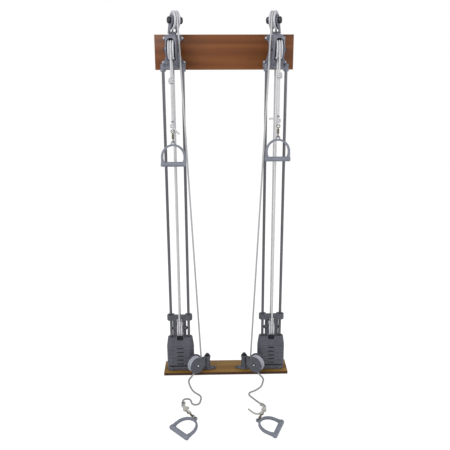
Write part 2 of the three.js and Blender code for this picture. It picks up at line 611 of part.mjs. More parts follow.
function buildColumn(side) {
  const column = new THREE.Group();
  column.name = `${side.name}_column`;
  column.position.set(side.x, 0, 0);
  column.scale.set(side.mirror, 1, 1);
  group.add(column);
  const add = (name, body, finish) => addMesh(column, `${side.name}_${name}`, body, finish);

  add('upper_bracket', upperBracket(), 'casting');
  add('chest_wheel', wheel().translate([0, CHEST_Y, CHEST_Z]), 'wheel');
  add('chest_axle', headedAxle(39.3, 10, 6).translate([0, CHEST_Y, CHEST_Z]), 'dark');
  add('overhead_yoke', onYoke(overheadYoke()), 'casting');
  add('overhead_wheel', onYoke(wheel().translate([0, -ROPE_PITCH_R, OVER_Z])), 'wheel');
  add('overhead_axle', onYoke(overheadAxle()), 'dark');
  add('guide_rod_outer', cylinderZ(-ROD_X, 0, ROD_R, ROD_BOTTOM, ROD_TOP, 16), 'steel');
  add('guide_rod_inner', cylinderZ(ROD_X, 0, ROD_R, ROD_BOTTOM, ROD_TOP, 16), 'steel');
  add('carriage', carriage(), 'casting');
  add('carriage_wheel', wheel().translate([0, 0, CARRIAGE_WHEEL_Z]), 'wheel');
  add('carriage_axle', headedAxle(44.4, 9, 4.1).translate([0, 0, CARRIAGE_WHEEL_Z]), 'dark');
  for (let number = 1; number <= PLATES; number += 1) {
    add(`plate_${number}`, weightPlate(number), 'weight');
  }
  add('selector_key', selectorKey(), 'steel');
  add('rubber_bumper', rubberBumper(), 'rubber');
  add('rod_base', rodBase(), 'casting');
  add('floor_foot', floorFoot().translate([FOOT_X, FOOT_Y, 0]), 'casting');
  add('floor_housing', onFloor(floorHousing()), 'casting');
  add('floor_wheel', onFloor(floorWheel()), 'wheel');

  add('chest_handle', handle().translate([0, -143.5, side.chestLug]), 'handle');
  add('chest_snap', snap().translate([0, -143.5, side.chestLug]), 'snap');
  add('floor_handle', layHandle(handle(), side), 'handle');
  const lay = layAlong(side.snapDirection);
  const turn = (body) => body.rotate([0, 0, 90]).rotate([0, lay.tip, 0]).rotate([0, 0, lay.yaw]);
  add('floor_snap', turn(snap()).translate(side.floorLug), 'snap');

  const direction = unit(side.snapDirection);
  const along = (distance) => side.floorLug.map((value, i) => value + direction[i] * distance);
  const end = along(112);
  const near = along(126);
  const knotAt = { at: along(100), lay: [0, lay.tip, lay.yaw] };
  const route = side.floorRoute.concat([near, end]);
  add('pulley_rope', pulleyRope(), 'cord');
  add('chest_rope', chestRope(side), 'cord');
  add('floor_rope', floorRope({ floorRoute: route, floorKnot: knotAt }), 'cord');
}

const half = BOARD_W / 2;
addMesh(group, 'top_board', box(-half, half, WALL_Y - BOARD_T, WALL_Y, TOP_BOARD_Z0, TOP_BOARD_Z1), 'wood');
addMesh(group, 'bottom_board', box(-half, half, FLOOR_BOARD_FRONT, WALL_Y, 0, BOARD_T), 'floorWood');
buildColumn(LEFT);
buildColumn(RIGHT);

export default group;
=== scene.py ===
import math

import bmesh
import bpy
from mathutils import Matrix, Vector


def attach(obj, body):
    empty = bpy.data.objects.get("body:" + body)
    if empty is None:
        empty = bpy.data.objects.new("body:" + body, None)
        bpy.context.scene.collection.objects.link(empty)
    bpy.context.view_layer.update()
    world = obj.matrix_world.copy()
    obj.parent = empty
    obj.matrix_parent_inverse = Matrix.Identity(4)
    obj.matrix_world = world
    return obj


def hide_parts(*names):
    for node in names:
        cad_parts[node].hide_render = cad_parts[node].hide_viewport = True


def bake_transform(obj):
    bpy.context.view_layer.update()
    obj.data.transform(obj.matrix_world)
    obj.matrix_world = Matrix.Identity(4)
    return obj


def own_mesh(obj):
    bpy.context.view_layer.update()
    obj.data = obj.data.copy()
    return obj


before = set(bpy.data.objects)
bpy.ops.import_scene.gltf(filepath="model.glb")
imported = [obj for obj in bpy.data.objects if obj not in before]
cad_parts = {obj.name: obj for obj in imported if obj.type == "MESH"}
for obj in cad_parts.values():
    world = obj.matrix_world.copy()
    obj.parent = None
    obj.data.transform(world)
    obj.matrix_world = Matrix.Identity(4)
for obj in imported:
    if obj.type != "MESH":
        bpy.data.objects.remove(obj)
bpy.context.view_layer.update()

# Sizes in millimetres, as in the part's source. Each column is drawn about its own axis, with +x
# toward the middle of the unit, and the right column is the mirror image of the left.
COLUMN_X = 278.0  # from the unit's middle to a column's axis
ROD_X = 53.0
ROD_R = 8.0
ROD_TOP = 1830.0
ROD_HOLE_R = 8.3
ROPE_R = 4.75
LOW = ROPE_R + 0.2  # middle of a rope that lies on the floor
PITCH_R = 43.5  # from a wheel's axle to the middle of its rope
AXLE_R = 6.0
AXLE_HOLE_R = 6.3
CHEST = Vector((0.0, -100.0, 1903.0))
HANG_Y = -143.5  # chest rope
CARRIAGE_Z = 298.0  # carriage wheel at rest
OVER_Y = 43.5  # overhead yoke's swivel
OVER_Z = 2057.0  # overhead wheel
OVER_TURN = 22.0
FOOT = Vector((164.0, 2.0, 0.0))
FOOT_SCREW_X = 43
FLOOR_TURN = 37.0
FLOOR_ARM = 95.8  # from the floor wheel to its swivel bolt, along the housing
FLOOR_OFFSET = 9.2  # the same across the housing
FLOOR_Z = 85.0
FLOOR_LEAVE = -70  # degrees from level at which the rope leaves the floor wheel
BOARD_X = 381
BASE_Z = 19.3  # underside of what stands on the bottom board
WALL_Y = 80.7  # back of what is screwed to the top board
FLANGE_Y = 72.7  # front of the upper bracket's back plate
LEDGE_Z = 1812
HOOD_FRONT = -128
HOOD_TOP = 1980
HOOD_AXIS_Z = 1947
HOOD_R = 33
HOOD_WALL = 6.5
WALL_SCREWS = ((-49.5, 1975), (49.5, 1975), (-57, 1850), (57, 1850))
PLATES = 5
PLATE_T = 25.4
PLATE_STEP = 25.74
PLATE_Z0 = 55.2
LIFT = 550.0
HANDLE_DROP = 112.0  # from the lug's hole to the middle of the grip
HOOK_R = 12.5
SNAP_EYE_Z = 62.0  # this and the next two are heights over the lug's hole
CHEST_KNOT = 88.0
FLOOR_KNOT = 100.0
KNOT_TOP = 34.0  # end of a knot's doubled strand over the knot's middle
BOUND_AT = 28  # point of the floor rope's route from which on it lies still
ROUTE_STEP = 6.0

SIDES = {
    "left": dict(
        sign=1, lug=1430.0, stopper=1747.0, floor_lug=(104.5, -539, 37.8), yaw=-137.0, tilt=12.8,
        snap=(-55, 83.4, 2),
        route=[(57, -95.5, 6), (52.5, -116, LOW), (54.5, -142, LOW), (60.5, -168, LOW),
               (67.5, -192, LOW), (76, -215, LOW), (89, -238, LOW), (107, -258, LOW),
               (122.5, -275, LOW), (129.5, -296, LOW), (128, -321, LOW), (123.6, -344, LOW),
               (117.6, -357, LOW), (104, -364.2, LOW), (89, -361.3, LOW), (79.6, -350, LOW),
               (71.6, -321, LOW), (61.6, -309, LOW), (46.4, -306, LOW), (32.4, -313.6, LOW),
               (27, -328, LOW), (28, -353, 8), (28.5, -379, 15), (27.5, -404, 27)],
        chest_tail=[(5, -4, -4), (11, -6, -14), (21, -6, -28), (35, -5, -41)],
        floor_tail=[(49.8, -454, 41), (55, -446, 44), (62, -440, 40), (66, -437, 33)],
        doubled=118,
    ),
    "right": dict(
        sign=-1, lug=1455.0, stopper=1772.0, floor_lug=(123.3, -555, 32), yaw=-156.5, tilt=9.8,
        snap=(-39, 92, 0),
        route=[(57, -95.5, 6), (54, -116, LOW), (59.5, -143, LOW), (66, -168, LOW),
               (74, -189, LOW), (87, -207, LOW), (103, -224, LOW), (121, -238, LOW),
               (138, -247.5, LOW), (150, -262, LOW), (149.5, -280, LOW), (138, -300, LOW),
               (126, -318, LOW), (114, -336, LOW), (101, -354, LOW), (88, -371, 8),
               (78, -390, 14), (73, -413, 24)],
        chest_tail=[(8, -6, 3), (17, -7, 9), (31, -6, 13), (50, -4, 11)],
        floor_tail=[(90, -478, 37), (97, -489, 40), (107, -496, 36), (118, -491, 27),
                    (131, -473, 17), (146, -445, 8), (164, -413, LOW)],
        doubled=92,
    ),
}

# Camera fitted to the photograph, in radians and metres
VIEW_YAW, VIEW_PITCH, VIEW_ROLL = 0.023, 0.2549, -0.0037
VIEWPOINT = (-0.0686, -2.9187, 1.7039)
LENS, SENSOR = 41.6, 36.0

# Lights: place, aim, size and power
LIGHTS = {"key": ((-2.3, -3.0, 3.6), (0, 0, 1.1), 2.4, 95),
          "fill": ((3.0, -2.6, 2.2), (0, 0, 1.0), 2.6, 40)}


def rad(degrees):
    return degrees * math.pi / 180


def shift(x, y, z):
    return Matrix.Translation(Vector((x, y, z)))


def holder(data, name="work"):
    made = bpy.data.objects.new(name, data)
    bpy.context.scene.collection.objects.link(made)
    return made


def look():
    camera = holder(bpy.data.cameras.new("photo_view"), "photo_view")
    camera.data.sensor_width = SENSOR
    camera.data.lens = LENS
    camera.data.clip_end = 50
    turn = (Matrix.Rotation(-VIEW_YAW, 4, "Z") @ Matrix.Rotation(math.pi / 2 - VIEW_PITCH, 4, "X")
            @ Matrix.Rotation(VIEW_ROLL, 4, "Z"))
    camera.matrix_world = shift(*VIEWPOINT) @ turn
    bpy.context.scene.camera = camera


look()


# Node trees: a socket with arithmetic, a tree, and a tree that ends in one shader
class Signal:
    def __init__(self, tree, socket):
        self.tree = tree
        self.socket = socket

    def math(self, operation, *others, clamp=False):
        inputs = dict(enumerate((self, *others)))
        return self.tree.node("ShaderNodeMath", inputs, operation=operation, use_clamp=clamp)

    def __add__(self, other):
        return self.math("ADD", other)

    def __mul__(self, other):
        return self.math("MULTIPLY", other)

    def __sub__(self, other):
        return self.math("SUBTRACT", other)

    def __rsub__(self, other):
        return self.tree.node("ShaderNodeMath", {0: other, 1: self}, operation="SUBTRACT")

    __radd__, __rmul__ = __add__, __mul__

    def clamped(self):
        return self.math("ADD", 0.0, clamp=True)


class Tree:
    def __init__(self, tree):
        self.tree = tree

    def plug(self, socket, value):
        if isinstance(value, Signal):
            self.tree.links.new(value.socket, socket)
        elif hasattr(value, "__len__") and len(value) == 3 and len(socket.default_value) == 4:
            socket.default_value = (*value, 1.0)
        else:
            socket.default_value = value

    def node(self, kind, inputs=None, output=0, **settings):
        made = self.tree.nodes.new(kind)
        for name, value in settings.items():
            setattr(made, name, value)
        for key, value in (inputs or {}).items():
            self.plug(made.inputs[key], value)
        return Signal(self, made.outputs[output]) if made.outputs else None


class Finish(Tree):
    def __init__(self, name, shader="BsdfPrincipled", output="OutputMaterial",
                 owners=bpy.data.materials):
        self.owner = owners.new(name)
        self.owner.use_nodes = True
        super().__init__(self.owner.node_tree)
        self.tree.nodes.clear()
        end = self.tree.nodes.new(f"ShaderNode{output}")
        self.shader = self.tree.nodes.new(f"ShaderNode{shader}")
        self.tree.links.new(self.shader.outputs[0], end.inputs[0])

    def set(self, **values):
        for name, value in values.items():
            self.plug(self.shader.inputs[name.replace("_", " ")], value)
        return self.owner

    def place(self, scale=(1, 1, 1)):
        where = self.node("ShaderNodeTexCoord", output="Object")
        return self.node("ShaderNodeMapping", {"Vector": where, "Scale": scale})

    def axis(self, where, name):
        return self.node("ShaderNodeSeparateXYZ", {0: where}, name)

    def noise(self, where, scale, detail, roughness=0.55):
        return self.node("ShaderNodeTexNoise", {"Vector": where, "Scale": scale, "Detail": detail,
                                                "Roughness": roughness})

    def ramp(self, value, *stops):
        made = self.node("ShaderNodeValToRGB", {0: value})
        elements = made.socket.node.color_ramp.elements
        elements.remove(elements[1])
        elements[0].position = stops[0][0]
        elements[0].color = (*stops[0][1], 1.0)
        for spot, colour in stops[1:]:
            elements.new(spot).color = (*colour, 1.0)
        return made

    def mix(self, factor, a, b):
        return self.node("ShaderNodeMix", {0: factor, 6: a, 7: b}, 2, data_type="RGBA")

    def bump(self, height, strength, distance, under=None):
        inputs = {"Height": height, "Strength": strength, "Distance": distance}
        if under is not None:
            inputs["Normal"] = under
        return self.node("ShaderNodeBump", inputs)


def srgb(r, g, b):
    def linear(v):
        v /= 255
        return v / 12.92 if v <= 0.04045 else ((v + 0.055) / 1.055) ** 2.4
    return (linear(r), linear(g), linear(b))


def tone(colour, factor):
    return tuple(min(1.0, v * factor) for v in colour)


def hood_shade_mask(finish, where):
    """Mask of painted shade: 1 inside either bracket's hood, 0 on its outside, by distances in
    metres.
    """
    x, y, z = (finish.axis(where, side) for side in "XYZ")
    across = (x.math("ABSOLUTE") - COLUMN_X / 1000).math("ABSOLUTE")
    above = (z - HOOD_AXIS_Z / 1000).math("MAXIMUM", 0.0)
    under_arch = 0.0268 - (across * across + above * above).math("SQRT")
    behind_front = y + 0.1215
    over_apron = z + y * 0.592 - 1.8188
    under_roof = y * 1.2 - z + 2.0965
    inside = 1.0
    for distance in (under_arch, behind_front, over_apron, under_roof):
        inside = (distance * 2500).clamped() * inside
    return inside


def hammertone(name, colour, rough, dapple, hood=False):
    """Hammered enamel: dimples a few millimetres across; with hood, painted shade darkens the
    inside of the hood to near black.
    """
    finish = Finish(name)
    where = finish.place()
    dimples = finish.node("ShaderNodeTexVoronoi", {"Vector": where, "Scale": dapple,
                                                   "Smoothness": 0.35}, "Distance",
                          feature="SMOOTH_F1")
    drift = finish.noise(where, 14, 3)
    grain = finish.noise(where, 900, 2)
    shade = finish.ramp(dimples + drift * 0.35 - 0.1, (0.12, tone(colour, 0.62)), (0.5, colour),
                        (0.85, tone(colour, 1.55)))
    dust_and_hood_shade = finish.mix((drift * 1.6 - 0.75).clamped() * 0.35, shade, tone(colour, 1.7))
    # painted shade: the inside of the hood is darkened to near black (20, 20, 24)
    if hood:
        dust_and_hood_shade = finish.mix(hood_shade_mask(finish, where) * 0.92, dust_and_hood_shade, srgb(20, 20, 24))
    relief = finish.bump(dimples, 0.55, 0.0009)
    fine = finish.bump(grain, 0.12, 0.0002, relief)
    return finish.set(Base_Color=dust_and_hood_shade, Metallic=0.25, Normal=fine,
                      Roughness=(dimples * 0.22 + rough).clamped())


def varnished_wood(name, dark, mid, light, edge=None):
    """Board under varnish, its grain along X, with another colour on its front edge if given."""
    finish = Finish(name)
    where = finish.place((0.55, 7, 7))
    warp = finish.noise(where, 2.2, 3, 0.5)
    bands = finish.node("ShaderNodeTexWave", {"Vector": where, "Scale": 0.9, "Distortion": 7.0,
                                              "Detail": 3.0, "Detail Scale": 1.2},
                        wave_type="BANDS", bands_direction="Z")
    pores = finish.noise(finish.place((18, 420, 420)), 1.0, 3, 0.6)
    body = finish.ramp(bands * 0.22 + warp * 0.78, (0.24, dark), (0.5, mid), (0.76, light))
    flecked = finish.mix((pores * 2.2 - 1.05).clamped() * 0.45, body, tone(dark, 0.55))
    if edge is not None:
        front = (finish.axis(finish.place(), "Y") + 0.0454) * -2600
        flecked = finish.mix(front.clamped(), flecked, edge)
    relief = finish.bump(pores, 0.12, 0.0003)
    return finish.set(Base_Color=flecked, Roughness=warp * 0.16 + 0.4, Normal=relief,
                      Coat_Weight=0.12, Coat_Roughness=0.15, Specular_IOR_Level=0.3)


def turned_steel(name, colour, rough, metal=1.0, along=(1, 1, 1)):
    """Drawn or turned metal with a fine grain and faint smudges."""
    finish = Finish(name)
    grain = finish.noise(finish.place(along), 260, 2)
    smudge = finish.noise(finish.place(), 22, 4)
    shade = finish.mix((smudge * 1.5 - 0.55).clamped() * 0.55, colour, tone(colour, 0.55))
    return finish.set(Base_Color=shade, Metallic=metal, Roughness=smudge * 0.18 + rough,
                      Normal=finish.bump(grain, 0.07, 0.0002))


def moulded(name, colour, rough):
    """Moulded nylon with clouds of grime."""
    finish = Finish(name)
    where = finish.place()
    cloud = finish.noise(where, 16, 4)
    speck = finish.noise(where, 420, 2)
    shade = finish.mix((cloud * 1.7 - 0.7).clamped() * 0.4, colour, tone(colour, 0.72))
    return finish.set(Base_Color=shade, Roughness=cloud * 0.2 + rough,
                      Normal=finish.bump(speck, 0.06, 0.0002))


def braid(name, colour, low_inward_darkening=0.95):
    """Crossing strands by the rope's own map (round, along), darker low down and inward of it."""
    finish = Finish(name)
    where = finish.node("ShaderNodeUVMap", uv_map="lay")
    around = finish.axis(where, "X")
    along = finish.axis(where, "Y")
    strands_a_turn, full_turn = 4.0, 6.2832
    one = ((along * strands_a_turn + around * strands_a_turn) * full_turn).math("SINE")
    two = ((along * strands_a_turn - around * strands_a_turn) * full_turn).math("SINE")
    strands = one.math("MAXIMUM", two)
    cloud = finish.noise(finish.place(), 30, 3)
    worn = finish.mix((strands * 0.5 + 0.5).clamped() * 0.6 + 0.32, tone(colour, 0.6), colour)
    dirt_and_darkening = finish.mix((cloud * 1.8 - 0.7).clamped() * 0.45, worn, tone(colour, 0.62))
    # darker below about 7 cm and inward of the columns, by position alone
    spot = finish.place()
    inward = (0.262 - finish.axis(spot, "X").math("ABSOLUTE")) * 6.5
    low = 1.0 - finish.axis(spot, "Z") * 14.0
    low_inward_mask = inward.math("MAXIMUM", low).clamped() * low_inward_darkening
    dirt_and_darkening = finish.mix(low_inward_mask, dirt_and_darkening, tone(colour, 0.36))
    return finish.set(Base_Color=dirt_and_darkening, Roughness=0.85, Normal=finish.bump(strands, 0.5, 0.0008))


def moulded_rubber(name):
    finish = Finish(name)
    where = finish.place()
    skin = finish.noise(where, 260, 3)
    bloom = finish.noise(where, 24, 4)
    shade = finish.mix(bloom, (0.012, 0.012, 0.013), (0.035, 0.035, 0.037))
    return finish.set(Base_Color=shade, Roughness=bloom * 0.25 + 0.6,
                      Normal=finish.bump(skin, 0.2, 0.0004))


ENAMEL = hammertone("blue_grey_hammertone", srgb(108, 110, 121), 0.34, 260)
# the bracket's enamel, with painted shade inside its hood
SHADED_HOOD_ENAMEL = hammertone("bracket_hammertone", srgb(108, 110, 121), 0.34, 260, hood=True)
FLOOR_ENAMEL = hammertone("dark_grey_hammertone", srgb(80, 82, 90), 0.36, 240)
STACK_ENAMEL = hammertone("dark_hammertone", srgb(79, 80, 88), 0.38, 230)
ROD_STEEL = turned_steel("drawn_rod_steel", srgb(112, 112, 117), 0.3, 0.85, (0.05, 0.05, 1))
BOLT_STEEL = turned_steel("plated_bolt_steel", srgb(176, 176, 180), 0.25)
DARK_STEEL = turned_steel("blackened_steel", srgb(62, 62, 68), 0.32, 0.6)
NICKEL = turned_steel("worn_nickel", srgb(124, 118, 100), 0.32)
ZINC = turned_steel("zinc_plate", srgb(226, 226, 230), 0.4, 0.3)
HANDLE_METAL = hammertone("cast_handle_grey", srgb(116, 120, 131), 0.3, 420)
NYLON = moulded("off_white_nylon", srgb(198, 198, 205), 0.32)
# painted shade: a greyer copy of the off-white nylon, for the floor wheel
SHADED_NYLON = moulded("greyed_nylon", srgb(172, 174, 184), 0.36)
RUBBER = moulded_rubber("black_rubber")
ROPE_FIBRE = braid("braided_rope", srgb(210, 210, 212))
KNOT_FIBRE = braid("braided_rope_end", srgb(200, 197, 190), 0.3)
TWINE = braid("grey_whipping_twine", srgb(146, 147, 153))
TOP_WOOD = varnished_wood("red_brown_board", srgb(98, 52, 18), srgb(117, 66, 26),
                          srgb(130, 78, 36))
FLOOR_WOOD = varnished_wood("golden_brown_board", srgb(92, 62, 14), srgb(124, 88, 28),
                            srgb(144, 108, 42), edge=srgb(66, 38, 18))


# Shapes, in millimetres about the column's axis
def arc(cx, cy, r, a, b, steps):
    turns = [rad(a + (b - a) * i / steps) for i in range(steps + 1)]
    return [(cx + r * math.cos(turn), cy + r * math.sin(turn)) for turn in turns]


def round_angles(count):
    return [2 * math.pi * k / count for k in range(count)]


def finished(work, name):
    mesh = bpy.data.meshes.new(name)
    work.to_mesh(mesh)
    work.free()
    return mesh


def prism(outline, low, high, plane="xy"):
    """Closed outline raised from low to high, square to its plane."""
    ends = {"xy": lambda u, v, w: (u, v, w),
            "xz": lambda u, v, w: (u, w, v),
            "yz": lambda u, v, w: (w, u, v)}[plane]
    work = bmesh.new()
    bottom = [work.verts.new(ends(u, v, low)) for u, v in outline]
    top = [work.verts.new(ends(u, v, high)) for u, v in outline]
    count = len(outline)
    for i in range(count):
        j = (i + 1) % count
        work.faces.new((bottom[i], bottom[j], top[j], top[i]))
    work.faces.new(bottom[::-1])
    work.faces.new(top)
    bmesh.ops.recalc_face_normals(work, faces=work.faces)
    return finished(work, "prism")


def block(x0, x1, y0, y1, z0, z1):
    return prism([(x0, y0), (x1, y0), (x1, y1), (x0, y1)], z0, z1)


def turned(profile, axis="z", segments=64, at=(0, 0, 0)):
    """Profile of (radius, height) spun about an axis through at."""
    work = bmesh.new()
    rings = []
    closed = profile[0] == profile[-1] and profile[0][0] > 0
    for r, h in profile[:-1] if closed else profile:
        if r < 1e-6:
            rings.append([work.verts.new((0, 0, h))])
        else:
            rings.append([work.verts.new((r * math.cos(angle), r * math.sin(angle), h))
                          for angle in round_angles(segments)])
    if closed:
        rings.append(rings[0])
    for a, b in zip(rings, rings[1:]):
        for k in range(segments):
            j = (k + 1) % segments
            corners = [a[k % len(a)], a[j % len(a)], b[j % len(b)], b[k % len(b)]]
            unique = list(dict.fromkeys(corners))
            if len(unique) > 2:
                work.faces.new(unique)
    bmesh.ops.recalc_face_normals(work, faces=work.faces)
    turn = {"z": Matrix.Identity(4), "x": Matrix.Rotation(math.pi / 2, 4, "Y"),
            "y": Matrix.Rotation(-math.pi / 2, 4, "X")}[axis]
    bmesh.ops.transform(work, matrix=shift(*at) @ turn, verts=work.verts)
    return finished(work, "turned")


def mirrored(profile):
    """Profile of a turned piece followed by its mirror image."""
    return profile + [(r, -h) for r, h in reversed(profile)]


def cylinder(r, low, high, axis="z", at=(0, 0, 0), top=None, segments=48):
    profile = [(0, low), (r, low), (r if top is None else top, high), (0, high)]
    return turned(profile, axis, segments, at)


def moved(mesh, matrix):
    mesh.transform(matrix)
    if matrix.determinant() < 0:
        mesh.flip_normals()
    return mesh


def evaluated(thing):
    bpy.context.view_layer.update()
    graph = bpy.context.evaluated_depsgraph_get()
    mesh = bpy.data.meshes.new_from_object(thing.evaluated_get(graph))
    bpy.data.objects.remove(thing)
    return mesh


def combine(base, tools, operation):
    thing = holder(base)
    others = []
    for tool in tools:
        other = holder(tool)
        others.append(other)
        step = thing.modifiers.new("step", "BOOLEAN")
        step.operation = operation
        step.solver = "MANIFOLD"
        step.object = other
    mesh = evaluated(thing)
    for other in others:
        bpy.data.objects.remove(other)
    return mesh


def join(base, *others):
    return combine(base, others, "UNION")


def cut(base, *tools):
    return combine(base, tools, "DIFFERENCE")


def gathered(*meshes):
    """Several meshes as one, without joining their walls."""
    work = bmesh.new()
    for mesh in meshes:
        work.from_mesh(mesh)
    return finished(work, "gathered")


def cast(mesh, grid, passes):
    """Softens every edge and corner as a sand casting under enamel has them."""
    thing = holder(mesh)
    skin = thing.modifiers.new("skin", "REMESH")
    skin.mode = "VOXEL"
    skin.voxel_size = grid
    ease = thing.modifiers.new("ease", "SMOOTH")
    ease.factor = 0.5
    ease.iterations = passes
    return evaluated(thing)


def bevelled(mesh, width, segments=3):
    thing = holder(mesh)
    edge = thing.modifiers.new("edge", "BEVEL")
    edge.width = width
    edge.segments = segments
    edge.limit_method = "ANGLE"
    edge.angle_limit = rad(35)
    edge.harden_normals = False
    return evaluated(thing)


def smooth(mesh, angle=None):
    for face in mesh.polygons:
        face.use_smooth = True
    if angle is not None:
        mesh.set_sharp_from_angle(angle=rad(angle))
    return mesh


def sweep(points, radius=ROPE_R, sides=16):
    """Round rope along points, with a map of turns round it and lays along it."""
    spots = [Vector(p) for p in points]
    last = len(spots) - 1
    work = bmesh.new()
    lay = work.loops.layers.uv.new("lay")
    ahead = [(spots[min(i + 1, last)] - spots[max(i - 1, 0)]).normalized()
             for i in range(last + 1)]
    side = ahead[0].orthogonal().normalized()
    rings, reach, travelled = [], [], 0.0
    for i, (spot, way) in enumerate(zip(spots, ahead)):
        side = (side - way * side.dot(way)).normalized()
        other = way.cross(side)
        if i:
            travelled += (spot - spots[i - 1]).length
        reach.append(travelled / (2 * math.pi * radius))
        rings.append([work.verts.new(spot + (side * math.cos(angle) + other * math.sin(angle))
                                     * radius) for angle in round_angles(sides)])
    for i in range(last):
        for k in range(sides):
            j = (k + 1) % sides
            face = work.faces.new((rings[i][k], rings[i][j], rings[i + 1][j], rings[i + 1][k]))
            for loop, uv in zip(face.loops, ((k, i), (k + 1, i), (k + 1, i + 1), (k, i + 1))):
                loop[lay].uv = (uv[0] / sides, reach[uv[1]])
    for end in (rings[0][::-1], rings[-1]):
        face = work.faces.new(end)
        for loop in face.loops:
            loop[lay].uv = (0.0, 0.0)
    return smooth(finished(work, "sweep"), 50)


def through(points, spacing):
    """Points of a smooth curve through the given ones, about one per spacing."""
    def between(start, end, low, high):
        return start * ((high - t) / (high - low)) + end * ((t - low) / (high - low))
    spots = [Vector(p) for p in points]
    spots = [spots[0] * 2 - spots[1]] + spots + [spots[-1] * 2 - spots[-2]]
    found = []
    for a, b, c, d in zip(spots, spots[1:], spots[2:], spots[3:]):
        t0, t1 = 0.0, (b - a).length ** 0.5
        t2 = t1 + (c - b).length ** 0.5
        t3 = t2 + (d - c).length ** 0.5
        steps = max(1, round((c - b).length / spacing))
        for i in range(steps):
            t = t1 + (t2 - t1) * i / steps
            p = between(a, b, t0, t1), between(b, c, t1, t2), between(c, d, t2, t3)
            q = between(p[0], p[1], t0, t2), between(p[1], p[2], t1, t3)
            found.append(between(q[0], q[1], t1, t2))
    found.append(spots[-2])
    return found


def straight(a, b, spacing=20.0):
    a, b = Vector(a), Vector(b)
    steps = max(2, round((b - a).length / spacing))
    return [a.lerp(b, i / steps) for i in range(steps + 1)]


# Pieces of one column: each is drawn once, then placed on both sides
def to_column(side):
    sign = SIDES[side]["sign"]
    scale = Matrix.Diagonal((sign / 1000, 1 / 1000, 1 / 1000, 1))
    return shift(-COLUMN_X * sign / 1000, 0, 0) @ scale


def in_row(side, point):
    return to_column(side) @ Vector(point)


def place(name, side, mesh, material, body, slot, *nodes):
    """Puts a column piece in the model, in metres, on its body and in place of its CAD nodes."""
    copy = moved(mesh.copy(), to_column(side))
    copy.materials.clear()
    copy.materials.append(material)
    thing = holder(copy, f"{side}_{name}_piece")
    copy.name = thing.name
    if body is not None:
        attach(thing, body if body == "frame" else f"{side}_{body}")
    if nodes:
        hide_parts(*(f"{side}_{node}" for node in nodes))
    return thing


def both(name, mesh, material, body, slot, node=None):
    """Places a piece on both columns, for the CAD node of its own name or for another."""
    for side in SIDES:
        place(name, side, mesh, material, body, slot, node or name)


def dog_bone(boss, web):
    a = math.degrees(math.asin(web / boss))
    return (arc(ROD_X, 0, boss, -(180 - a), 180 - a, 20)
            + arc(-ROD_X, 0, boss, a, 360 - a, 20))


def rod_holes(r, low, high):
    return [cylinder(r, low, high, at=(x, 0, 0)) for x in (-ROD_X, ROD_X)]


def pulley():
    half = [(6.5, -16), (13, -16), (15, -14), (18, -12), (33, -12), (36, -14), (38, -16), (45, -16),
            (47, -15.3), (49, -13), (49, -10), (48.3, -9), (39.6, -5.4), (38.6, -3.5), (38.5, 0)]
    other = [(r, -h) for r, h in reversed(half[:-1])]
    return smooth(turned(half + other + half[:1], "x", 72), 28)


def plate_mid(number):
    return PLATE_Z0 + PLATE_T / 2 + (PLATES - number) * PLATE_STEP


def weight_plate():
    low, high = -PLATE_T / 2, PLATE_T / 2
    body = bevelled(prism(dog_bone(30, 27.5), low, high), 2.6)
    stem_hole = cylinder(10.8, low - 1, high + 1)
    key_slot = [block(-20, 20, -34, -17, -3.8, 3.8), block(-6.5, 6.5, -18, 14.5, -3.3, 3.3)]
    return cast(cut(body, *rod_holes(9.25, low - 1, high + 1), stem_hole, *key_slot), 1.1, 3)


def narrowed(mesh, share, low, high):
    """Draws the width in, down to a share of itself at y = low."""
    for vertex in mesh.vertices:
        vertex.co.x *= share + (1 - share) * (vertex.co.y - low) / (high - low)
    return mesh


def hood_profile(wall):
    """Side view of the hood: a lobe round the chest axle over a sloping apron."""
    floor = [(WALL_Y - wall, LEDGE_Z + wall), (-20 + wall, LEDGE_Z + wall)]
    lobe = [(-24 - wall * 0.3, 1828), (-60, 1846), (-96, 1862), (-112, 1874), (-122, 1886),
            (HOOD_FRONT, 1898)]
    brow = [(HOOD_FRONT + wall, 1945), (-124 + wall, 1962 - wall), (-114 + wall, 1974 - wall)]
    roof = [(-100, HOOD_TOP - wall), (WALL_Y - wall, HOOD_TOP - wall)]
    return floor + [(y + wall * 0.7, z + wall) for y, z in lobe] + brow + roof


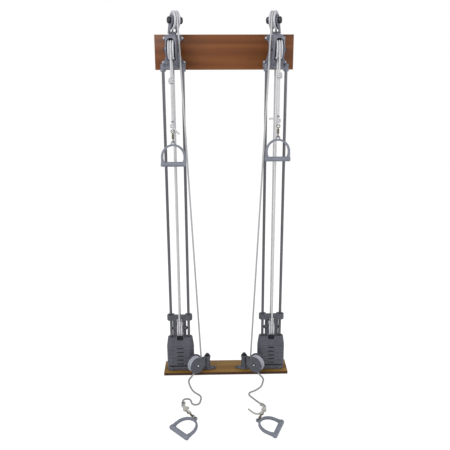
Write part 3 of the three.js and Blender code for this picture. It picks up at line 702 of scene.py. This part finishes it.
def upper_bracket():
    right = ([(66, LEDGE_Z)] + arc(57, 1850, 9, 0, 130, 10)
             + [(44, 1873), (39, 1888), (36, 1912), (35.5, 1932), (38, 1954)]
             + arc(49.5, 1975, 9, -90, 90, 12) + [(40, 1992)])
    plate = prism(right + [(-x, z) for x, z in reversed(right)], FLANGE_Y, WALL_Y, "xz")

    def lobe(half, wall, back):
        outline = [(half, 1800)] + arc(0, HOOD_AXIS_Z, half, 0, 180, 28) + [(-half, 1800)]
        arch = narrowed(prism(outline, HOOD_FRONT, back, "xz"), 0.85, HOOD_FRONT, back)
        return combine(arch, [prism(hood_profile(wall), -40, 40, "yz")], "INTERSECT")
    shell = lobe(HOOD_R, 0, WALL_Y)
    cavity = lobe(HOOD_R - HOOD_WALL, HOOD_WALL, FLANGE_Y)
    slot = prism(arc(0, 1936, 21, 0, 180, 24) + [(-21, 1851), (21, 1851)], -140, -60, "xz")
    hood = cut(shell, cavity, slot, block(-9, 9, -75, -45, 1815, 1870))
    ledge = prism([(66, -10), (66, WALL_Y), (-66, WALL_Y), (-66, -10), (-60, -16), (60, -16)],
                  LEDGE_Z, LEDGE_Z + 10)
    web = [(28, 1815), (64, 1815), (64, 1822), (55, 1834), (45, 1850), (37, 1876), (33, 1902),
           (28, 1902)]
    webs = [prism([(x * s, z) for x, z in web], -6, 6, "xz") for s in (-1, 1)]
    sockets = [cylinder(15, 1798, 1837, at=(x, 0, 0), top=13.5) for x in (-ROD_X, ROD_X)]
    boss = cylinder(20, 1962, 1996, at=(0, OVER_Y, 0))
    hubs = [cylinder(13, low, low + 16, "x", CHEST) for low in (-33, 17)]
    body = join(plate, hood, ledge, *webs, *sockets, boss, *hubs)
    bores = [block(-20, 20, 20, 66, 1800, 1830), cylinder(12, 1940, 2010, at=(0, OVER_Y, 0)),
             cylinder(AXLE_HOLE_R, -40, 40, "x", CHEST)]
    screws = [cylinder(2.7, 60, 90, "y", (x, 0, z)) for x, z in WALL_SCREWS]
    rods = rod_holes(ROD_HOLE_R, 1790, ROD_TOP + 0.4)
    return cast(cut(body, *bores, *screws, *rods), 1.5, 5)


def headed_axle(half, head, thick):
    profile = [(0, -half), (head - 1.4, -half), (head - 0.4, -half + 0.4), (head, -half + 1.4),
               (head, thick - half), (AXLE_R, thick - half)]
    return smooth(turned(mirrored(profile), "x", 40), 32)


def overhead_yoke():
    wheel_y, low, top = -PITCH_R, 1996.3, 2003
    base = prism([(-24, -12), (-24, 14), (-14, 23), (14, 23), (24, 14), (24, -12), (18, -22),
                  (-18, -22)], low, top)

    def touch(y, sign):
        """Angle where a line from the base's top touches the cheeks' round end."""
        across, down = y - wheel_y, top - OVER_Z
        return math.degrees(math.atan2(down, across)
                            + sign * math.acos(30 / math.hypot(across, down)))
    crown = arc(wheel_y, OVER_Z, 30, touch(14, 1), touch(-22, -1) + 360, 36)
    outline = [(14, low)] + crown + [(-22, top), (-12, low)]
    cheeks = [prism(outline, x, x + 5, "yz") for x in (19, -24)]
    stem = cylinder(11.6, 1972, 1998)
    bores = [cylinder(6.5, 1960, 2010), cylinder(AXLE_HOLE_R, -40, 40, "x", (0, wheel_y, OVER_Z))]
    return cast(cut(join(base, *cheeks, stem), *bores), 1.1, 4)


def overhead_knobs():
    profile = [(0, -42), (8, -42), (13, -41), (16.5, -38.5), (18, -35), (18, -30), (16.8, -27),
               (14, -24.6), (11, -24.3), (AXLE_R, -24.3)]
    return smooth(turned(mirrored(profile), "x", 48, (0, -PITCH_R, OVER_Z)), 40)


ON_YOKE = shift(0, OVER_Y, 0) @ Matrix.Rotation(rad(OVER_TURN), 4, "Z")


def tapered_block(low, high, wide, narrow, web):
    mesh = prism(dog_bone(wide, web), low, high)
    k = narrow / wide
    for vertex in mesh.vertices:
        if vertex.co.z > (low + high) / 2:
            centre = math.copysign(ROD_X, vertex.co.x)
            vertex.co.x = centre + (vertex.co.x - centre) * k
            vertex.co.y *= k
    return mesh


def carriage():
    axle = (0, 0, CARRIAGE_Z)
    bar = prism(dog_bone(23, 20), 353, 386)
    dip = prism([(-36, 388), (-30, 378), (30, 378), (36, 388)], -40, 40, "xz")
    arch = prism([(-19, 350), (19, 350), (19, 356), (12, 361), (-12, 361), (-19, 356)],
                 -40, 40, "xz")
    outline = [(-22, 225), (22, 225), (21, 262), (18, 320), (19, 358), (-19, 358), (-18, 320),
               (-21, 262)]
    cheeks = [prism(outline, x, x + 7, "yz") for x in (19, -26)]
    rib = block(25, 38, -5, 5, 236, 357)
    web = cut(block(-43.5, -25, -4, 4, 236, 357), cylinder(10, -50, -39, "x", axle))
    bosses = [cylinder(13, x, x + 20, "x", axle) for x in (20, -40)]
    lower = tapered_block(183.9, 242, 30, 21.5, 27.5)
    notch = prism([(-19, 245), (-19, 228), (-13, 222), (13, 222), (19, 228), (19, 245)],
                  -40, 14, "xz")
    back = block(-19.5, 19.5, 14, 18, 225, 248)
    body = join(cut(bar, dip, arch), *cheeks, rib, web, *bosses, cut(lower, notch), back)
    bores = [cylinder(AXLE_HOLE_R, -50, 50, "x", axle)] + rod_holes(8.5, 180, 390)
    return cast(cut(body, *bores), 1.3, 4)


def selector_stem():
    slots = [block(-6, 6, -15, 15, plate_mid(n) - 3, plate_mid(n) + 3)
             for n in range(1, PLATES + 1)]
    rod = turned([(0, 58), (8.5, 58), (10, 59.5), (10, 192), (0, 192)])
    return smooth(cut(rod, *slots), 30)


def selector_key():
    low, high = plate_mid(PLATES) - 2.5, plate_mid(PLATES) + 2.5
    key = join(block(-19, 19, -27, -17.6, low, high), block(-5.5, 5.5, -19, 13, low, high))
    return smooth(bevelled(key, 0.7, 2), 30)


def floor_foot():
    outline = (arc(FOOT_SCREW_X, 0, 11, -60, 60, 12) + arc(0, 0, 24, 60, 120, 10)
               + arc(-FOOT_SCREW_X, 0, 11, 120, 240, 12) + arc(0, 0, 24, 240, 300, 10))
    flange = prism(outline, BASE_Z, 27.3)
    post = cylinder(19, 27, 92, top=16)
    holes = [cylinder(3, 10, 40, at=(x, 0, 0)) for x in (FOOT_SCREW_X, -FOOT_SCREW_X)]
    return cast(cut(join(flange, post), *holes), 1.1, 4)


def swivel_bolt():
    washer = turned([(0, 108.4), (14.6, 108.4), (15, 108.8), (15, 111.2), (14.6, 111.6),
                     (0, 111.6)], segments=48)
    head = bevelled(cylinder(11, 111.7, 121, segments=6), 1.0, 2)
    shank = cylinder(AXLE_R, 92.1, 108.4)
    return smooth(gathered(shank, washer, head), 30)


def floor_housing():
    z = FLOOR_Z
    disc = turned([(0, -18), (50.5, -18), (50.5, -23), (44, -23), (42.5, -21.8), (12, -21.8),
                   (11, -24.5), (0, -24.5)], "y", 72, (0, 0, z))
    cheek = prism(arc(0, z, 57, -60, 115, 36) + arc(0, z, 36, 125, 290, 30), 18, 23, "xz")
    ear = prism([(34, z - 25), (58, z - 25), (58, z + 25), (34, z + 25)], -23, -18, "xz")
    bridge = block(51.5, 58, -23, 23, z - 25, z + 25)
    arm = prism([(51, 66), (58, 66), (70, 92.4), (FLOOR_ARM, 92.4), (FLOOR_ARM, 108), (51, 108)],
                FLOOR_OFFSET - 5, FLOOR_OFFSET + 5, "xz")
    eye = cylinder(19, 92.4, 108, at=(FLOOR_ARM, FLOOR_OFFSET, 0))
    bore = cylinder(6.5, 80, 120, at=(FLOOR_ARM, FLOOR_OFFSET, 0))
    return cast(cut(join(disc, cheek, ear, bridge, arm, eye), bore), 1.2, 4)


def floor_pin():
    head = bevelled(cylinder(5.4, -28.9, -25.2, "y", (0, 0, FLOOR_Z), segments=6), 0.8, 2)
    shank = cylinder(AXLE_R, -18, 24.5, "y", (0, 0, FLOOR_Z))
    return smooth(gathered(head, shank), 30)


def floor_washer():
    return smooth(cylinder(10.5, -25.4, -23.9, "y", (0, 0, FLOOR_Z)), 30)


def on_floor():
    t = rad(FLOOR_TURN)
    x = FOOT.x - FLOOR_ARM * math.cos(t) + FLOOR_OFFSET * math.sin(t)
    y = FOOT.y - FLOOR_ARM * math.sin(t) - FLOOR_OFFSET * math.cos(t)
    return shift(x, y, 0) @ Matrix.Rotation(t, 4, "Z")


ON_FLOOR = on_floor()


def floor_point(t, z):
    return ON_FLOOR @ Vector((t, 0, z))


def handle():
    """Lug hole at the origin, in the XZ plane, grip below."""
    bend = arc(0, 0, 1, 6, 174, 40)
    outer = [(66, -80)] + [(66 * x, -72 + 67 * y) for x, y in bend] + [(-66, -80)]
    inner = ([(49.5, -95), (53, -86), (53.5, -78)] + [(53.5 * x, -72 + 57 * y) for x, y in bend]
             + [(-53.5, -78), (-53, -86), (-49.5, -95)])
    outline = (arc(-57.5, -HANDLE_DROP, 8.5, 180, 360, 10) + inner[::-1]
               + arc(57.5, -HANDLE_DROP, 8.5, 180, 360, 10) + outer)
    bow = prism(outline, -7, 7, "xz")
    grip = turned(mirrored([(0, -68), (9, -68), (11.8, -66), (13, -62.5)]), "x", 48,
                  (0, 0, -HANDLE_DROP))
    lug = cylinder(12, -4.2, 4.2, "y")
    return cast(cut(join(bow, grip, lug), cylinder(6.5, -20, 20, "y")), 1.0, 4)


def snap_hook():
    """Standing on the handle's lug: hook in YZ, sprung barrel, swivel eye in XZ."""
    def on_hook(a, b, steps):
        return [(0, y, z) for y, z in arc(0, HOOK_R, HOOK_R, a, b, steps)]
    hook = sweep(on_hook(-141, 100, 44), 2.3, 14)
    coils = [(r, z + h) for z in (25, 29.2, 33.4, 37.6)
             for r, h in ((6.5, 0), (6.5, 2), (4.9, 2.6), (4.9, 3.6))]
    neck = [(6.5, 41.8), (6.5, 44), (5.4, 46.5), (3.2, 47.5), (3.2, 50), (4.4, 50.6), (4.4, 53.4),
            (0, 54)]
    barrel = turned([(0, 22), (4.6, 22), (6.2, 23.5)] + coils + neck, "z", 36)
    wire = arc(9, 0, 2.4, 0, 360, 14)[:-1]
    eye = turned(wire + wire[:1], "y", 48, (0, 0, SNAP_EYE_Z))
    thumb = turned([(0, 0), (2.4, 0), (2.8, 1), (2.8, 3), (2.0, 3.9), (0, 4)], "y", 24,
                   (0, -9.6, 33))
    bowed = on_hook(-143, -190, 10) + [(0, -10.2, 19.8), (0, -5.5, 25.5)]
    gate = sweep(through(bowed, 2.0), 1.9, 14)
    tip = cylinder(2.6, 21, 24)
    return smooth(cast(join(hook, barrel, eye, thumb, gate, tip), 0.42, 2))


def rope_end(points):
    return sweep(through(points, 4.0), ROPE_R * 0.96, 14)


def drawn_knot(tail, coil, half, strands, bulge=0.0):
    """Knot drawn up about the origin, z along the rope: wraps round a core, and a cut tail."""
    turns = round((2 * half - 2 * ROPE_R - 0.5) / (2 * ROPE_R + 0.2), 1)
    rise = 2 * (half - ROPE_R - 0.3)
    wraps = []
    for a in range(0, int(360 * turns) + 1, 15):
        share = a / (360 * turns)
        r = coil * (1 - bulge * (2 * share - 1) ** 2)
        wraps.append((r * math.cos(rad(a)), r * math.sin(rad(a)), (share - 0.5) * rise))
    first, last = Vector(wraps[0]), Vector(wraps[-1])
    wraps = ([(first.x * 0.35, first.y * 0.35 - 3, first.z - 1)] + wraps
             + [(last.x * 0.35, last.y * 0.35 + 3, last.z + 1)])
    parts = [sweep(through(wraps, 3.0), sides=14)]
    parts += [sweep(through(points, 4.0), sides=14) for points in strands]
    if tail:
        parts.append(rope_end([(0, 0, half - 9)] + tail))
    return gathered(*parts)


def eye_knot(tail, reach, beside=True):
    """Rope bent through the snap's eye and wrapped on itself, its middle reach above the lug."""
    wire = SNAP_EYE_Z + 9 - reach
    turn = 2.4 + ROPE_R
    bight = [(0, 4.2, 9), (0, 5.2, -8), (0, turn, wire + 5)]
    bight += [(0, turn * math.cos(rad(a)), wire + turn * math.sin(rad(a)))
              for a in range(0, -181, -30)]
    bight += [(0, -turn, wire + 5), (0, -5.2, -8), (0, -2.0, 5), (0, 0, 14)]
    doubled = [(0, 6, 0), (0, 9.4, 12), (0, 9.7, 22), (0, 9.7, KNOT_TOP)]
    return drawn_knot(tail, 9.2, 12.5, [bight, doubled] if beside else [bight])


def whipping():
    """Twine bound four times round the two strands above a knot."""
    turns = [(6.2 * math.cos(rad(a)), 4.8 + 10.8 * math.sin(rad(a)), 1.7 * a / 360)
             for a in range(0, 4 * 360 + 1, 15)]
    return sweep(turns, 1.0, 10)


def turned_back(route, length):
    """The rope's own end lying beside the last of a route, and where twine binds the two."""
    strand, gone = [], 0.0
    for near, far in zip(route[::-1], route[-2::-1]):
        way = (near - far).normalized()
        out = Vector((0, 0, 1)).cross(way).normalized()
        strand.append(near + out * (2 * ROPE_R + 0.2))
        gone += (near - far).length
        if gone > length:
            break
    bound = Matrix((out.cross(way), out, way)).transposed().to_4x4()
    return strand, Matrix.Translation(near + way * 9) @ bound


def leaving_floor_wheel(distance):
    """Point on the rope's straight way off the floor wheel."""
    a = rad(FLOOR_LEAVE)
    ahead = PITCH_R * math.cos(a) + distance * math.sin(a)
    return floor_point(ahead, FLOOR_Z + PITCH_R * math.sin(a) - distance * math.cos(a))


def rope(name, side, points, body, replaced):
    """A length of rope in a column, riding on a body if one is given."""
    return place(name, side, sweep(points), ROPE_FIBRE, body, "rope", replaced)


def free_rope(points, side):
    """Works out a cord's path in metres, which is then not used."""
    metres = [in_row(side, p) for p in points]


# The cords come first: the two free ropes of each column
def floor_cord(side):
    fit = SIDES[side]
    lug = Vector(fit["floor_lug"])
    way = Vector(fit["snap"]).normalized()
    lead = [leaving_floor_wheel(4.3), leaving_floor_wheel(9), floor_point(-4, 35.5),
            floor_point(-18, 23.5), floor_point(-31, 12.5)]
    to_knot = [lug + way * (FLOOR_KNOT + 26), lug + way * (FLOOR_KNOT + 12)]
    route = [Vector((p.x, p.y, max(p.z, LOW)))
             for p in through(lead + fit["route"] + to_knot, ROUTE_STEP)]
    floor_rope = rope("floor_rope", side, route, None, "floor_rope")
    in_row(side, route[0])
    in_row(side, route[BOUND_AT])
    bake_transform(floor_rope)
    turn = (shift(*lug) @ Matrix.Rotation(math.atan2(way.y, way.x), 4, "Z")
            @ Matrix.Rotation(math.acos(way.z), 4, "Y") @ Matrix.Rotation(math.pi / 2, 4, "Z"))
    snap = place("floor_snap", side, moved(SNAP.copy(), turn), NICKEL, "frame", "snap_metal",
                 "floor_snap")
    strand, bound = turned_back(route, fit["doubled"])
    eye = moved(eye_knot(None, FLOOR_KNOT, False), turn @ shift(0, 0, FLOOR_KNOT))
    work = gathered(eye, sweep(strand), rope_end(fit["floor_tail"]))
    knot = place("floor_knot", side, work, KNOT_FIBRE, "frame", "rope")
    twine = place("floor_whipping", side, moved(whipping(), bound), TWINE, "frame", "rope")
    free_rope(route, side)


def chest_cord(side):
    fit = SIDES[side]
    top, bottom = 1899.6, fit["lug"] + CHEST_KNOT + 2
    fall = straight((0, HANG_Y, top), (0, HANG_Y, bottom), 12)
    chest_rope = rope("chest_rope", side, fall, None, "chest_rope")
    in_row(side, fall[0])
    in_row(side, (0, HANG_Y, fit["stopper"] + 16))
    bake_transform(chest_rope)

    def hung(name, mesh, height, material, slot, *nodes):
        at = shift(0, HANG_Y, height)
        return place(name, side, moved(mesh, at), material, "chest_end", slot, *nodes)
    snap = hung("chest_snap", SNAP.copy(), fit["lug"], NICKEL, "snap_metal", "chest_snap")
    eye = eye_knot(fit["chest_tail"], CHEST_KNOT)
    knot = hung("chest_knot", eye, fit["lug"] + CHEST_KNOT, ROPE_FIBRE, "rope")
    twine = hung("chest_whipping", whipping(), fit["lug"] + CHEST_KNOT + 20, TWINE, "rope")
    stop = drawn_knot([(9, 0, 3), (15, 0, 1)], 12, 18, [[(0, 0, -18.5), (0, 0, 18.5)]], 0.32)
    stopper = hung("stopper_knot", stop, fit["stopper"], ROPE_FIBRE, "rope")
    free_rope(fall, side)


SNAP = snap_hook()
for column in SIDES:
    floor_cord(column)
    chest_cord(column)


# The working rope, in lengths that each follow their own piece of the column
def half_turn(y, z, ahead, above):
    """Rope half round a wheel: ahead -1 starts at its front, above -1 passes under it."""
    return [(0, y + ahead * PITCH_R * math.cos(rad(a)), z + above * PITCH_R * math.sin(rad(a)))
            for a in range(0, 181, 6)]


def working_rope(side):
    def length(name, points, body):
        return rope(name, side, points, body, "pulley_rope")

    def fall(name, start, end):
        thing = length(name, straight(start, end), "frame")
        in_row(side, start)
        1 - LIFT / (start[2] - CARRIAGE_Z)
        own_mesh(thing)

    def slant(name, start, end):
        thing = length(name, straight(start, end), None)
        in_row(side, start)
        in_row(side, end)
        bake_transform(thing)
    length("chest_wrap", [(0, HANG_Y, 1900)] + half_turn(CHEST.y, CHEST.z, -1, 1), "frame")
    fall("front_fall", (0, CHEST.y + PITCH_R, CHEST.z), (0, -PITCH_R, CARRIAGE_Z))
    length("carriage_wrap", half_turn(0, CARRIAGE_Z, -1, -1), "carriage")
    fall("back_fall", (0, PITCH_R, OVER_Z), (0, PITCH_R, CARRIAGE_Z))
    over = [ON_YOKE @ Vector(p) for p in half_turn(-PITCH_R, OVER_Z, 1, 1)]
    length("overhead_wrap", over, "overhead_yoke")
    low = floor_point(PITCH_R, FLOOR_Z)
    middle = over[-1].lerp(low, 0.5)
    slant("upper_slant", over[-1], middle)
    slant("lower_slant", middle, low)
    round_floor = [floor_point(PITCH_R * math.cos(rad(a)), FLOOR_Z + PITCH_R * math.sin(rad(a)))
                   for a in range(0, FLOOR_LEAVE - 1, -5)]
    length("floor_wrap", round_floor + [leaving_floor_wheel(4)], "floor_housing")


for column in SIDES:
    working_rope(column)


def board(name, front, back, low, high, material):
    mesh = bevelled(block(-BOARD_X, BOARD_X, front, back, low, high), 1.8)
    mesh.transform(Matrix.Scale(0.001, 4))
    smooth(mesh, 50).materials.append(material)
    thing = holder(mesh, f"{name}_piece")
    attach(thing, "frame")
    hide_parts(name)


board("top_board", 81, 100, 1810, 1994, TOP_WOOD)
board("bottom_board", -46, 100, 0, 19, FLOOR_WOOD)


# Rods, wheels and axles
def rod(x):
    profile = [(0, 28.3), (6.7, 28.3), (ROD_R, 29.1), (ROD_R, ROD_TOP - 0.8), (6.7, ROD_TOP),
               (0, ROD_TOP)]
    return smooth(turned(profile, "z", 40, (x, 0, 0)), 40)


both("guide_rod_outer", rod(-ROD_X), ROD_STEEL, "frame", "rod_steel")
both("guide_rod_inner", rod(ROD_X), ROD_STEEL, "frame", "rod_steel")
WHEEL = pulley()
AT_CHEST, AT_CARRIAGE = shift(*CHEST), shift(0, 0, CARRIAGE_Z)
WHEEL_SPOTS = {
    "chest_wheel": (AT_CHEST, NYLON),
    "carriage_wheel": (AT_CARRIAGE, NYLON),
    "overhead_wheel": (ON_YOKE @ shift(0, -PITCH_R, OVER_Z), NYLON),
    # the floor wheel's nylon has painted shade
    "floor_wheel": (ON_FLOOR @ shift(0, 0, FLOOR_Z) @ Matrix.Rotation(math.pi / 2, 4, "Z"),
                    SHADED_NYLON),
}
for wheel, (spot, plastic) in WHEEL_SPOTS.items():
    both(wheel, moved(WHEEL.copy(), spot), plastic, wheel, "wheel")
both("chest_axle", moved(headed_axle(39.3, 10, 6), AT_CHEST), DARK_STEEL, "frame", "dark_steel")
both("carriage_axle", moved(headed_axle(44.4, 9, 4.1), AT_CARRIAGE), DARK_STEEL, "carriage",
     "dark_steel")
both("overhead_axle", moved(overhead_knobs(), ON_YOKE), DARK_STEEL, "overhead_yoke", "dark_steel")

# Castings, and what is fixed in them
AT_FOOT = shift(*FOOT)
both("upper_bracket", smooth(upper_bracket()), SHADED_HOOD_ENAMEL, "frame", "casting")
both("overhead_yoke", smooth(moved(overhead_yoke(), ON_YOKE)), ENAMEL, "overhead_yoke",
     "casting")
both("carriage", smooth(carriage()), STACK_ENAMEL, "carriage", "weight")
both("selector_stem", selector_stem(), BOLT_STEEL, "carriage", "rod_steel", "carriage")
both("floor_foot", smooth(moved(floor_foot(), AT_FOOT)), FLOOR_ENAMEL, "frame", "casting")
both("foot_bolt", moved(swivel_bolt(), AT_FOOT), DARK_STEEL, "frame", "dark_steel", "floor_foot")
both("floor_housing", smooth(moved(floor_housing(), ON_FLOOR)), FLOOR_ENAMEL,
     "floor_housing", "casting")
both("floor_pin", moved(floor_pin(), ON_FLOOR), ZINC, "floor_housing", "rod_steel",
     "floor_housing")
both("floor_washer", moved(floor_washer(), ON_FLOOR), DARK_STEEL, "floor_housing", "dark_steel",
     "floor_housing")
REST = bevelled(prism(dog_bone(27, 23), BASE_Z, 46), 3.0)
both("rod_base", smooth(cast(cut(REST, *rod_holes(ROD_HOLE_R, 28, 50)), 1.1, 3)),
     STACK_ENAMEL, "frame", "weight")
PAD = bevelled(prism(dog_bone(20, 5), 46.3, 54.9), 1.4)
both("rubber_bumper", smooth(cut(PAD, *rod_holes(ROD_HOLE_R, 40, 60)), 30), RUBBER, "frame",
     "rubber")

# Weight plates: one casting five times, numbered from the top
PLATE = smooth(weight_plate())
for number in range(1, PLATES + 1):
    both(f"plate_{number}", moved(PLATE.copy(), shift(0, 0, plate_mid(number))), STACK_ENAMEL,
         f"plate_{number}", "weight")
both("selector_key", selector_key(), DARK_STEEL, "selector_key", "dark_steel")

# Handles
STIRRUP = smooth(handle())
for column, fit in SIDES.items():
    hanging = shift(0, HANG_Y, fit["lug"])
    lying = (shift(*fit["floor_lug"]) @ Matrix.Rotation(rad(fit["yaw"] - 90), 4, "Z")
             @ Matrix.Rotation(rad(90 - fit["tilt"]), 4, "X"))
    for name, pose in (("chest_handle", hanging), ("floor_handle", lying)):
        place(name, column, moved(STIRRUP.copy(), pose), HANDLE_METAL, name, "handle", name)


# Screws: points with an aim, each given a head turned at random about it
def screw_head():
    head = turned([(0, -7), (2.3, -7), (2.3, 0), (5.3, 0), (5.3, 0.7), (4.7, 2.0), (3.2, 3.0),
                   (0, 3.4)], segments=32)
    cross = cut(head, block(-3, 3, -0.6, 0.6, 1.6, 6))
    return smooth(cut(cross, block(-0.6, 0.6, -3, 3, 1.6, 6)), 32)


def screw_layout():
    group = bpy.data.node_groups.new("screw_layout", "GeometryNodeTree")
    for name, kind in (("Points", "Geometry"), ("Head", "Object"), ("Seed", "Int"),
                       ("Metal", "Material")):
        group.interface.new_socket(name, in_out="INPUT", socket_type=f"NodeSocket{kind}")
    group.interface.new_socket("Screws", in_out="OUTPUT", socket_type="NodeSocketGeometry")
    add = Tree(group).node
    points, head, seed, metal = (add("NodeGroupInput", output=name)
                                 for name in ("Points", "Head", "Seed", "Metal"))
    aim = add("GeometryNodeInputNamedAttribute", {0: "aim"}, data_type="FLOAT_VECTOR")
    facing = add("FunctionNodeAlignRotationToVector", {"Vector": aim}, axis="Z")
    angle = add("FunctionNodeRandomValue", {2: 0.0, 3: 2 * math.pi, "Seed": seed}, 1,
                data_type="FLOAT")
    spin = add("FunctionNodeAxisAngleToRotation", {"Axis": (0, 0, 1), "Angle": angle})
    turn = add("FunctionNodeRotateRotation", {0: facing, 1: spin}, rotation_space="LOCAL")
    shape = add("GeometryNodeObjectInfo", {"Object": head}, "Geometry",
                transform_space="ORIGINAL")
    laid = add("GeometryNodeInstanceOnPoints",
               {"Points": points, "Instance": shape, "Rotation": turn})
    real = add("GeometryNodeRealizeInstances", {0: laid})
    plated = add("GeometryNodeSetMaterial", {"Geometry": real, "Material": metal})
    add("NodeGroupOutput", {0: plated})
    return group


def screws(layout, head, metal, spots, aim, seed):
    mesh = bpy.data.meshes.new("spots")
    mesh.from_pydata(spots, [], [])
    for item in mesh.attributes.new("aim", "FLOAT_VECTOR", "POINT").data:
        item.vector = aim
    thing = holder(mesh)
    setter = thing.modifiers.new("layout", "NODES")
    setter.node_group = layout
    values = {"Head": head, "Seed": seed, "Metal": metal}
    for item in layout.interface.items_tree:
        if item.in_out == "INPUT" and item.name in values:
            setter[item.identifier] = values[item.name]
    return evaluated(thing)


HEAD = holder(screw_head(), "screw_head")
LAYOUT = screw_layout()
ON_FLANGE = [(x, FLANGE_Y - 0.1, z) for x, z in WALL_SCREWS]
ON_FOOT = [(FOOT.x + x, FOOT.y, 27.2) for x in (-FOOT_SCREW_X, FOOT_SCREW_X)]
for name, metal, slot, spots, aim, seed in (
        ("bracket_screws", ZINC, "rod_steel", ON_FLANGE, (0, -1, 0), 7),
        ("foot_screws", DARK_STEEL, "dark_steel", ON_FOOT, (0, 0, 1), 9)):
    laid = smooth(screws(LAYOUT, HEAD, metal, spots, aim, seed), 32)
    for column in SIDES:
        place(name, column, laid, metal, "frame", slot)
bpy.data.objects.remove(HEAD)


# Floor, light and backdrop
def studio_floor():
    finish = Finish("pale_floor", "MixShader")
    camera_ray = finish.node("ShaderNodeLightPath", output="Is Camera Ray")
    plain = finish.node("ShaderNodeBsdfDiffuse", {"Color": (0.8, 0.8, 0.8)})
    glow = finish.node("ShaderNodeEmission", {"Color": (1.0, 1.0, 1.0), "Strength": 1.35})
    for socket, value in zip(finish.shader.inputs, (camera_ray * 0.62, plain, glow)):
        finish.plug(socket, value)
    work = bmesh.new()
    bmesh.ops.create_grid(work, x_segments=1, y_segments=1, size=9)
    mesh = finished(work, "studio_floor")
    mesh.materials.append(finish.owner)
    ground = holder(mesh, "studio_floor")


def backdrop():
    """White to the camera, dimmer as a light."""
    sky = Finish("studio", "Background", "OutputWorld", bpy.data.worlds)
    camera_ray = sky.node("ShaderNodeLightPath", output="Is Camera Ray")
    bpy.context.scene.world = sky.set(Color=(1, 1, 1), Strength=camera_ray * 0.35 + 0.65)


def lamps():
    for name, (spot, aim, size, power) in LIGHTS.items():
        lamp = holder(bpy.data.lights.new(name, "AREA"), name)
        lamp.data.size = size
        lamp.data.energy = power
        lamp.location = spot
        lamp.rotation_euler = (Vector(aim) - Vector(spot)).to_track_quat("-Z", "Y").to_euler()


studio_floor()
backdrop()
lamps()
scene = bpy.context.scene
scene.render.resolution_x = 450
scene.render.resolution_y = 450
scene.view_settings.view_transform = "Standard"
